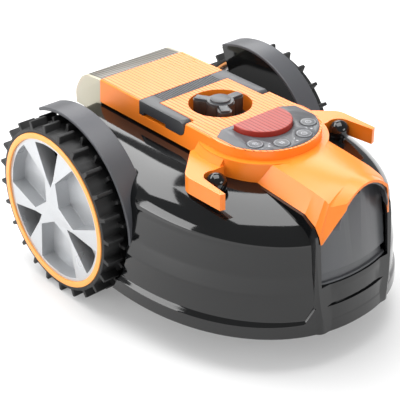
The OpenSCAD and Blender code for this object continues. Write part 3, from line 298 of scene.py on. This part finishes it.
def nose(inset):
    """The upright block of the nose, with round corners, under its side profile."""
    half, front, corner_steps = nose_half - inset, nose_foot + inset, 10
    plan = [(-half, 0)]
    plan += [(nose_corner * (1 + cos(t)) - half, front + nose_corner * (1 + sin(t)))
             for t in (pi + pi / 2 * i / corner_steps for i in range(corner_steps + 1))]
    plan += [(-x, y) for x, y in reversed(plan)]
    profile = [(nose_foot, skirt_z), (nose_foot, 62), (-221.5, 168), (-219, 181), (-212.5, 192),
               (-197, 202), (-119, 209), (nose_back, 211), (nose_back, skirt_z)]
    profile = [(y + inset * (y < nose_back), z - inset) for y, z in profile]
    across = Matrix(((0, 0, 1, -half - 1), (1, 0, 0, 0), (0, 1, 0, 0), (0, 0, 0, 1)))
    upright = prism(plan, 260, Matrix.Translation((0, 0, skirt_z - inset)))
    return combine(prism(profile, 2 * half + 2, across), "INTERSECT", upright)


# A band stands proud of the wall under the nose, between the lip and the sensor recess
shell = to_object("body_shell", raise_outlines(stations, 2.2))
lip_band = to_object("lip_band", raise_outlines([(51, 1.6, 1.2, 40), (86, 1.6, 1.2, 40)]))
lip_middle = prism([(-74, 51), (74, 51), (74, 70), (64, 86), (-64, 86), (-74, 70)], 400,
                   Matrix.Rotation(pi / 2, 4, "X"))
combine(lip_band, "INTERSECT", lip_middle)
combine(shell, "UNION", nose(0), lip_band)

hollow = to_object("hollow", raise_outlines(
    [(skirt_z - 1 if z == skirt_z else z - wall, *(inset + wall for inset in insets))
     for z, *insets in stations]))
combine(hollow, "UNION", nose(wall))
combine(hollow, "DIFFERENCE",
        *(rod(fender_r, (s * (well_x - wall), axle_y, axle_z), (s * 200, axle_y, axle_z))
          for s in sides.values()))
combine(shell, "DIFFERENCE", hollow,
        block((-63.4, -102, 182), (63.4, 300, 300)),                  # hatch under the top cover
        block((-72.4, 174, 187), (72.4, 300, 300)),                   # battery door
        block((-61.5, 164, 115.5), (61.5, 300, 300)),                 # battery bay
        block((-57, -400, 114), (57, -203.5, 226)),                   # sensor recess
        block((-skirt_half, 154, 48), (skirt_half, 300, 64)),         # raised tail edge
        *(rod(well_r, (s * well_x, axle_y, axle_z), (s * 220, axle_y, axle_z))
          for s in sides.values()),                                   # wheel wells
        *(rod(8, (s * 104, -94, 150), (s * 104, -94, 230), 48)
          for s in sides.values()))                                   # holes for the claw posts


def noise(tree, size_mm, detail=2.0):
    """A noise in object space, with its grain size in millimetres."""
    where = add_node(tree, "TexCoord")
    return add_node(tree, "TexNoise", {"Scale": 1000 / size_mm, "Detail": detail},
                    {"Vector": where.outputs["Object"]})


def spread(tree, source, low, high):
    """Maps a noise to a range."""
    return add_node(tree, "MapRange", {"To Min": low, "To Max": high}, {"Value": source})


def blend(tree, source, first, second):
    """Mixes two hex colours by a noise."""
    return add_node(tree, "MixRGB", {"Color1": linear(first), "Color2": linear(second)},
                    {"Fac": source})


def bump(tree, height, strength, depth_mm):
    """A fine unevenness of the surface, too small to be a shape."""
    return add_node(tree, "Bump", {"Strength": strength, "Distance": depth_mm / 1000},
                    {"Height": height})


def surface(tree, settings, links):
    """Gives a material its surface shader."""
    show(tree, add_node(tree, "BsdfPrincipled", settings, links))


# Polished ABS: a black gloss with a faint waviness from the mould, and the odd fine hair line
gloss_black, tree = new_material("gloss_black_abs")
surface(tree, {"Base Color": linear("#0b0c0d"), "IOR": 1.53},
        {"Roughness": spread(tree, noise(tree, 2), 0.045, 0.10),
         "Normal": bump(tree, noise(tree, 35, 1.0), 0.10, 0.6)})


def smooth(piece, crease):
    """Smooth shading, broken at edges sharper than an angle in degrees."""
    piece.data.shade_smooth()
    piece.data.set_sharp_from_angle(angle=radians(crease))
    even = piece.modifiers.new("even_normals", "WEIGHTED_NORMAL")
    even.keep_sharp = True


def dress(piece, material, body, crease=35):
    """Gives a finished piece its material, smooth shading and body."""
    piece.data.materials.clear()
    piece.data.materials.append(material)
    smooth(piece, crease)
    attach(piece, body)


body_of = {node: body for body, nodes in frame["record"]["behaviour"]["bodies"].items()
           for node in nodes}
dress(shell, gloss_black, "chassis", 22)
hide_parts("shell")


# ---- Fenders ---------------------------------------------------------------------------------
# Each wheel has a satin band that curves over it and a flat inner wall behind it. They are one
# moulding with the hood; only the band has a spark-eroded, matt finish.
def stripes(tree, pitch, start):
    """Bands along Y, one per pitch in mm; they begin where a sine across them passes start.

    Returns the point they are taken at and their strength."""
    where = add_node(tree, "TexCoord")
    point = add_node(tree, "SeparateXYZ", {}, {"Vector": where.outputs["Object"]})
    turn = add_node(tree, "Math", {"operation": "MULTIPLY", 1: 2000 * pi / pitch},
                    {0: point.outputs["X"]})
    wave = add_node(tree, "Math", {"operation": "SINE"}, {0: turn})
    return point, add_node(tree, "MapRange", {"From Min": start}, {"Value": wave})


def darken(tree, tone, mask, hex_colour):
    """Multiplies a colour by another where a mask is set."""
    return add_node(tree, "MixRGB", {"blend_type": "MULTIPLY", "Color2": linear(hex_colour)},
                    {"Fac": mask, "Color1": tone})


def moulded(name, colour, roughness, grain_mm=1.2, depth_mm=0.05, grooves=None):
    """Injection-moulded plastic: an even colour with a fine eroded grain.

    Grooves are (pitch, lowest height) in mm; the grooves cut into a top get painted shade, a darker
    colour along them."""
    material, tree = new_material(name)
    grain = noise(tree, grain_mm)
    tone = add_node(tree, "MixRGB",
                    {"blend_type": "MULTIPLY", "Fac": 0.10, "Color1": linear(colour)},
                    {"Color2": noise(tree, 60).outputs["Color"]})
    if grooves:
        pitch, lowest = grooves
        point, band = stripes(tree, pitch, 0.6)
        above = add_node(tree, "Math", {"operation": "GREATER_THAN", 1: lowest / 1000},
                         {0: point.outputs["Z"]})
        shaded_groove = add_node(tree, "Math", {"operation": "MULTIPLY"}, {0: band, 1: above})
        # Painted shade: the colour is multiplied by a darker brown along the grooves in a top.
        tone = darken(tree, tone, shaded_groove, "#a8845f")
    surface(tree, {"IOR": 1.53},
            {"Base Color": tone,
             "Roughness": spread(tree, grain, roughness - 0.05, roughness + 0.05),
             "Normal": bump(tree, grain, 0.35, depth_mm)})
    return material


satin_grey = moulded("satin_grey_abs", "#434448", 0.42)
front_end, rear_end = 122.2, -24  # degrees from straight up, about the axle
fender_steps = 73
arch_x, arch_wall, axle_hole_r = well_x - 1.5, 1.5, 14.6
for side, s in sides.items():
    bm = bmesh.new()
    bm.faces.new([bm.verts.new((s * x, axle_y, axle_z + r))
                  for x, r in ((well_x - wall, well_r), (fender_x, well_r), (fender_x, fender_r),
                               (well_x - wall, fender_r))])
    bmesh.ops.rotate(bm, cent=(0, axle_y, axle_z), verts=bm.verts,
                     matrix=Matrix.Rotation(radians(front_end), 3, "X"))
    bmesh.ops.spin(bm, geom=[*bm.faces, *bm.edges, *bm.verts], cent=(0, axle_y, axle_z),
                   axis=(1, 0, 0), angle=radians(rear_end - front_end), steps=fender_steps,
                   use_merge=False, use_duplicate=False)
    bmesh.ops.recalc_face_normals(bm, faces=bm.faces)
    fender = to_object(side + "_fender", bm)
    edge = fender.modifiers.new("rounded_edge", "BEVEL")
    edge.width, edge.segments, edge.angle_limit = 0.0014, 3, radians(40)
    edge.harden_normals = True
    fender.data.materials.append(satin_grey)
    fender.data.shade_smooth()
    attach(fender, "chassis")

    bm = bmesh.new()
    bmesh.ops.create_circle(bm, segments=160, radius=well_r + 1, cap_ends=True)
    bmesh.ops.rotate(bm, cent=(0, 0, 0), matrix=Matrix.Rotation(pi / 2, 3, "Y"), verts=bm.verts)
    bmesh.ops.translate(bm, vec=(s * arch_x, axle_y, axle_z), verts=bm.verts)
    rear = radians(-rear_end)
    for place, outwards in (((0, 0, skirt_z + 1), (0, 0, -1)),
                            ((0, axle_y, axle_z), (0, cos(rear), -sin(rear)))):
        bmesh.ops.bisect_plane(bm, geom=[*bm.verts, *bm.edges, *bm.faces], plane_co=place,
                               plane_no=outwards, clear_outer=True)
    extrude(bm, (-s * arch_wall, 0, 0))
    inner_wall = to_object(side + "_wheel_arch", bm)
    combine(inner_wall, "DIFFERENCE",
            rod(axle_hole_r, (s * 130, axle_y, axle_z), (s * 150, axle_y, axle_z), 48))
    dress(inner_wall, gloss_black, "chassis")


# ---- Nose panel ------------------------------------------------------------------------------
# The recess in the nose is lined by a satin grey panel, moulded with a bulging face and a lip
# that follows the snout's arch. A smoked window in it covers the sensor.
def rounded_copy(node, name, round_mm, material, segments=3, angle=28):
    """A finished copy of a rigid node: merged, with its edges rounded by a radius in mm."""
    bm = bmesh.new()
    bm.from_mesh(frame["nodes"][node].data)
    bmesh.ops.remove_doubles(bm, verts=bm.verts, dist=0.00001)
    bmesh.ops.dissolve_limit(bm, angle_limit=radians(0.5), verts=bm.verts, edges=bm.edges)
    piece = bpy.data.objects.new(name, bpy.data.meshes.new(name))
    bm.to_mesh(piece.data)
    bm.free()
    bpy.context.scene.collection.objects.link(piece)
    piece.data.materials.append(material)
    piece.data.shade_smooth()
    edges = piece.modifiers.new("rounded_edges", "BEVEL")
    edges.width, edges.segments, edges.angle_limit = round_mm / 1000, segments, radians(angle)
    edges.harden_normals = True
    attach(piece, body_of[node])
    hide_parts(node)
    return piece


panel_grey = moulded("satin_panel_abs", "#4c4d50", 0.33, 1.4, 0.03)
rounded_copy("sensor_bezel", "nose_panel", 1.2, panel_grey)

# Smoked acrylic: a dark window whose polish catches a glint
smoked, tree = new_material("smoked_acrylic")
surface(tree, {"Base Color": linear("#1b2026"), "IOR": 1.49},
        {"Roughness": spread(tree, noise(tree, 10, 1.0), 0.03, 0.08)})
rounded_copy("sensor_lens", "sensor_window", 0.4, smoked)

# ---- Claw posts ------------------------------------------------------------------------------
# A black rubber post with a ball head and a polished skin stands in each claw. The posts are
# part of what senses a bump or a lift.
rounded_copy("bumper_posts", "rubber_posts", 0.6, gloss_black, 2, 50)


# ---- Top cover -------------------------------------------------------------------------------
# One long moulding in orange ABS: the flat top with fine lengthwise grooves, the round platform
# for the controls, the snout with its visor, and two claws. It clips onto the hood's collar.
def grooved(piece, pitch, half_width, width=0.7, depth=0.45, reach=240):
    """Cuts lengthwise V grooves into a piece's flat top, the first a quarter pitch off middle."""
    bm = bmesh.new()
    count = int(half_width / pitch)
    top = 1000 * max((piece.matrix_world @ Vector(corner)).z for corner in piece.bound_box)
    for k in range(-count, count):
        x = (k + 0.25) * pitch
        bm.faces.new([bm.verts.new((x + across, -reach, top + up))
                      for across, up in ((-width, depth), (width, depth), (0, -depth))])
    extrude(bm, (0, 2 * reach, 0))
    combine(piece, "DIFFERENCE", to_object("grooves", bm))
    smooth(piece, 28)


groove_pitch = 5.8
# The grooves in its top get painted shade, a darker brown along them.
orange = moulded("orange_abs", "#f2801e", 0.34, 1.2, 0.03, (groove_pitch, 246.2))
grooved(rounded_copy("top_cover", "orange_cover", 1.5, orange), groove_pitch, 88)

# ---- Control panel ---------------------------------------------------------------------------
# A grey printed overlay on the round platform, with four press keys under pale rings, and the
# large coral stop button, which rises from the overlay and carries no lettering.
film = moulded("printed_overlay_film", "#545558", 0.40, 0.9, 0.02)
ink = moulded("pale_grey_ink", "#9c9da1", 0.5, 0.9, 0.01)
rounded_copy("panel_overlay", "control_overlay", 0.2, film, 1)
ink_height = 0.08
panel_y, key_row_r, dot_row_r, dash_row_r = -62, 56, 60, 54
key_angles, dot_angles, dash_angles = (-52.5, -19.5, 19.5, 52.5), (-36, 0, 36), (-35, 1, 37)


def on_panel(radius, angle):
    """A point of the panel, by its distance from the middle and its angle from straight ahead."""
    return radius * sin(radians(angle)), panel_y - radius * cos(radians(angle))


def printed(name, shapes, z, body):
    """Ink that lies on a flat surface: dots (x, y, radius), rings (x, y, radius, width)
    and bars (x, y, length, width, turn)."""
    bm = bmesh.new()
    for x, y, *rest in shapes:
        place = Matrix.Translation((x, y, z))
        if len(rest) == 1:
            bmesh.ops.create_circle(bm, cap_ends=True, segments=20, radius=rest[0], matrix=place)
        elif len(rest) == 2:
            radius, width = rest
            edge = [bm.verts.new((x + r, y, z)) for r in (radius - width / 2, radius + width / 2)]
            bmesh.ops.spin(bm, geom=[bm.edges.new(edge), *edge], cent=(x, y, z), axis=(0, 0, 1),
                           angle=2 * pi, steps=48, use_merge=True)
        else:
            length, width, turn = rest
            stretch = Matrix.Diagonal((length, width, 1, 1))
            bmesh.ops.create_grid(bm, x_segments=1, y_segments=1, size=0.5,
                                  matrix=place @ Matrix.Rotation(radians(turn), 4, "Z") @ stretch)
    extrude(bm, (0, 0, ink_height))
    piece = to_object(name, bm)
    piece.data.materials.append(ink)
    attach(piece, body)


key_signs = [
    [(0, 0.6, 5, 0.9, 0), (-2.1, -1.6, 3.6, 0.8, 90), (2.1, -1.6, 3.6, 0.8, 90),
     (0, -3.2, 4.4, 0.8, 0), (-1.7, 2.2, 4.8, 0.8, 40), (1.7, 2.2, 4.8, 0.8, -40)],  # drive home
    [(-1.5, 0, 6, 1.5, 90), (1.5, 0, 6, 1.5, 90)],                                  # pause
    [(0, 0, 3.6, 0.8), (0, 1.1, 2.2, 0.7, 90), (0.9, 0, 1.8, 0.7, 0)],              # timer
    [(0, 0, 3.4, 0.8), (0, 2.6, 3.4, 1.0, 90)],                                     # standby
]
key_grey = moulded("key_grey_film", "#545558", 0.36, 0.9, 0.02)
for k, (angle, sign) in enumerate(zip(key_angles, key_signs), 1):
    node = f"panel_key_{k}"
    rounded_copy(node, f"key_{k}", 0.5, key_grey, 2)
    x, y = on_panel(key_row_r, angle)
    marks = [(x, y, 8.6, 0.5)] + [(x + along, y + across, *rest) for along, across, *rest in sign]
    printed(f"key_{k}_print", marks, 1000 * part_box(node)[1][2], node)
dots = [(*on_panel(dot_row_r, angle), 1.5) for angle in dot_angles]
dashes = [(*on_panel(dash_row_r, angle), 4.2, 1.0, angle + 35) for angle in dash_angles]
printed("overlay_print", dots + dashes, 1000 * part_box("panel_overlay")[1][2], "chassis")

# The grooves in its top get painted shade, a darker brown along them.
coral = moulded("coral_abs", "#982414", 0.38, 1.2, 0.03, (groove_pitch, 253.8))
grooved(rounded_copy("stop_button", "stop_cap", 1.3, coral), groove_pitch, 36)

# ---- Height knob -----------------------------------------------------------------------------
# A dark three-lobed knob sinks into a well in the cover; a grey three-armed grip with a round
# cap is clipped onto it. Turning it raises or lowers the cutting deck.
knob_brown = moulded("dark_knob_abs", "#2b2523", 0.36)
grip_grey = moulded("grey_grip_abs", "#404144", 0.36)
rounded_copy("height_knob", "knob_body", 1.2, knob_brown)
rounded_copy("knob_grip", "knob_grip_plate", 0.7, grip_grey)

# ---- Carry handle ----------------------------------------------------------------------------
# A satin grey bridge, moulded in one piece, lies flush in the cover and swings up on steel pins;
# its bar has cross ribs for the fingers.
handle_grey = moulded("satin_handle_abs", "#36373a", 0.38)
rounded_copy("carry_handle", "carry_bridge", 1.1, handle_grey, 3, 40)

# ---- Battery door ----------------------------------------------------------------------------
# The door over the battery is ribbed warm grey polycarbonate with pale, slightly translucent end
# caps, and hinges on the cover's rear edge. Its fine ribs stop at the caps.
cap_x, door_rib_pitch = 67.2, 5.6
door_film, tree = new_material("warm_grey_polycarbonate")
point, band = stripes(tree, door_rib_pitch, 0.2)
side_x = add_node(tree, "Math", {"operation": "ABSOLUTE"}, {0: point.outputs["X"]})
at_cap = add_node(tree, "Math", {"operation": "GREATER_THAN", 1: cap_x / 1000}, {0: side_x})
between = add_node(tree, "Math", {"operation": "SUBTRACT", 0: 1.0}, {1: at_cap})
shaded_groove = add_node(tree, "Math", {"operation": "MULTIPLY"}, {0: band, 1: between})
cloud = noise(tree, 20)
tone = add_node(tree, "MixRGB", {"Color2": linear("#b0a995")},
                {"Fac": at_cap, "Color1": blend(tree, cloud, "#6c675f", "#747068")})
ribs = add_node(tree, "Bump", {"Strength": 0.7, "Distance": 0.0006, "invert": True},
                {"Height": shaded_groove})
# Painted shade: the base colour is multiplied by grey along the rib grooves.
surface(tree, {"IOR": 1.58, "Subsurface Weight": 0.05},
        {"Base Color": darken(tree, tone, shaded_groove, "#8f8c88"),
         "Roughness": spread(tree, cloud, 0.25, 0.36), "Normal": ribs})
rounded_copy("battery_door", "battery_flap", 0.9, door_film, 3, 30)

# ---- Wheels ----------------------------------------------------------------------------------
# A rubber tyre with two staggered rows of lugs, an orange rim ring and a silver painted hub with
# three deep pockets and three windows.
rubber, tree = new_material("moulded_rubber")
bloom = noise(tree, 12, 3.0)
surface(tree, {"IOR": 1.52},
        {"Base Color": blend(tree, bloom, "#0b0b0c", "#151516"),
         "Roughness": spread(tree, bloom, 0.50, 0.68),
         "Normal": bump(tree, noise(tree, 1.2), 0.4, 0.1)})
hub_silver, tree = new_material("silver_paint")
flake = noise(tree, 0.9)
surface(tree, {"Metallic": 0.6},
        {"Base Color": blend(tree, flake, "#b4b6b9", "#c6c8ca"),
         "Roughness": spread(tree, noise(tree, 50), 0.24, 0.34),
         "Normal": bump(tree, flake, 0.2, 0.04)})
rim_orange = moulded("rim_orange_abs", "#f9a650", 0.40)
for side in sides:
    rounded_copy(side + "_tyre", side + "_tread", 0.9, rubber, 2)
    rounded_copy(side + "_rim", side + "_rim_ring", 0.8, rim_orange)
    rounded_copy(side + "_hub", side + "_hub_face", 0.8, hub_silver)

# ---- Casters ---------------------------------------------------------------------------------
# Two swivelling casters carry the nose: black forks in glass-filled nylon, with nylon wheels.
nylon = moulded("glass_filled_nylon", "#242527", 0.5, 1.0, 0.06)
for side in sides:
    rounded_copy(side + "_caster_fork", side + "_fork", 0.5, nylon, 2)
    rounded_copy(side + "_caster_wheel", side + "_roller", 0.4, nylon, 2)


# ---- Underside and cutting deck --------------------------------------------------------------
# The chassis is a grey moulded tray; a carriage under its guide tower carries the motor, the
# cutting disc and three steel blades, each free to swing on its screw.
def finish(material, *nodes):
    """Gives CAD nodes that keep their shape a procedural material."""
    for node in nodes:
        for place in frame["nodes"][node].material_slots:
            place.material = material


tray_grey = moulded("tray_grey_pp", "#4b4d50", 0.5, 1.4, 0.05)
finish(tray_grey, "chassis_base", "blade_disc")
finish(nylon, "guide_tower", "motor_carriage", "right_gearbox", "left_gearbox", "battery_bay")

# Bright steel: turned or stamped, with fine marks in its gloss
steel, tree = new_material("bright_steel")
tool_marks = noise(tree, 1.5, 3.0)
surface(tree, {"Metallic": 1.0},
        {"Base Color": blend(tree, tool_marks, "#a9abae", "#bdbfc2"),
         "Roughness": spread(tree, tool_marks, 0.22, 0.38)})
finish(steel, "blade_1", "blade_2", "blade_3", "blade_screws", "cutting_motor", "right_drive_motor",
       "left_drive_motor", "stop_spring", "door_pin", "handle_pins", "chassis_screws",
       "right_axle", "left_axle", "right_caster_pin", "left_caster_pin", "right_caster_clip",
       "left_caster_clip", "height_spindle")

# ---- Battery and boards ----------------------------------------------------------------------
# The pack is a sealed case in dark polycarbonate. The boards are green solder mask on glass
# fibre, and the sensor's housing is black.
pack_case = moulded("battery_case_pc", "#3a3b3e", 0.42)
finish(pack_case, "battery_pack", "sensor_module")
solder_mask, tree = new_material("green_solder_mask")
traces = noise(tree, 4)
surface(tree, {"IOR": 1.5},
        {"Base Color": blend(tree, traces, "#17492f", "#25663f"),
         "Roughness": spread(tree, traces, 0.25, 0.4)})
finish(solder_mask, "main_board", "control_board")
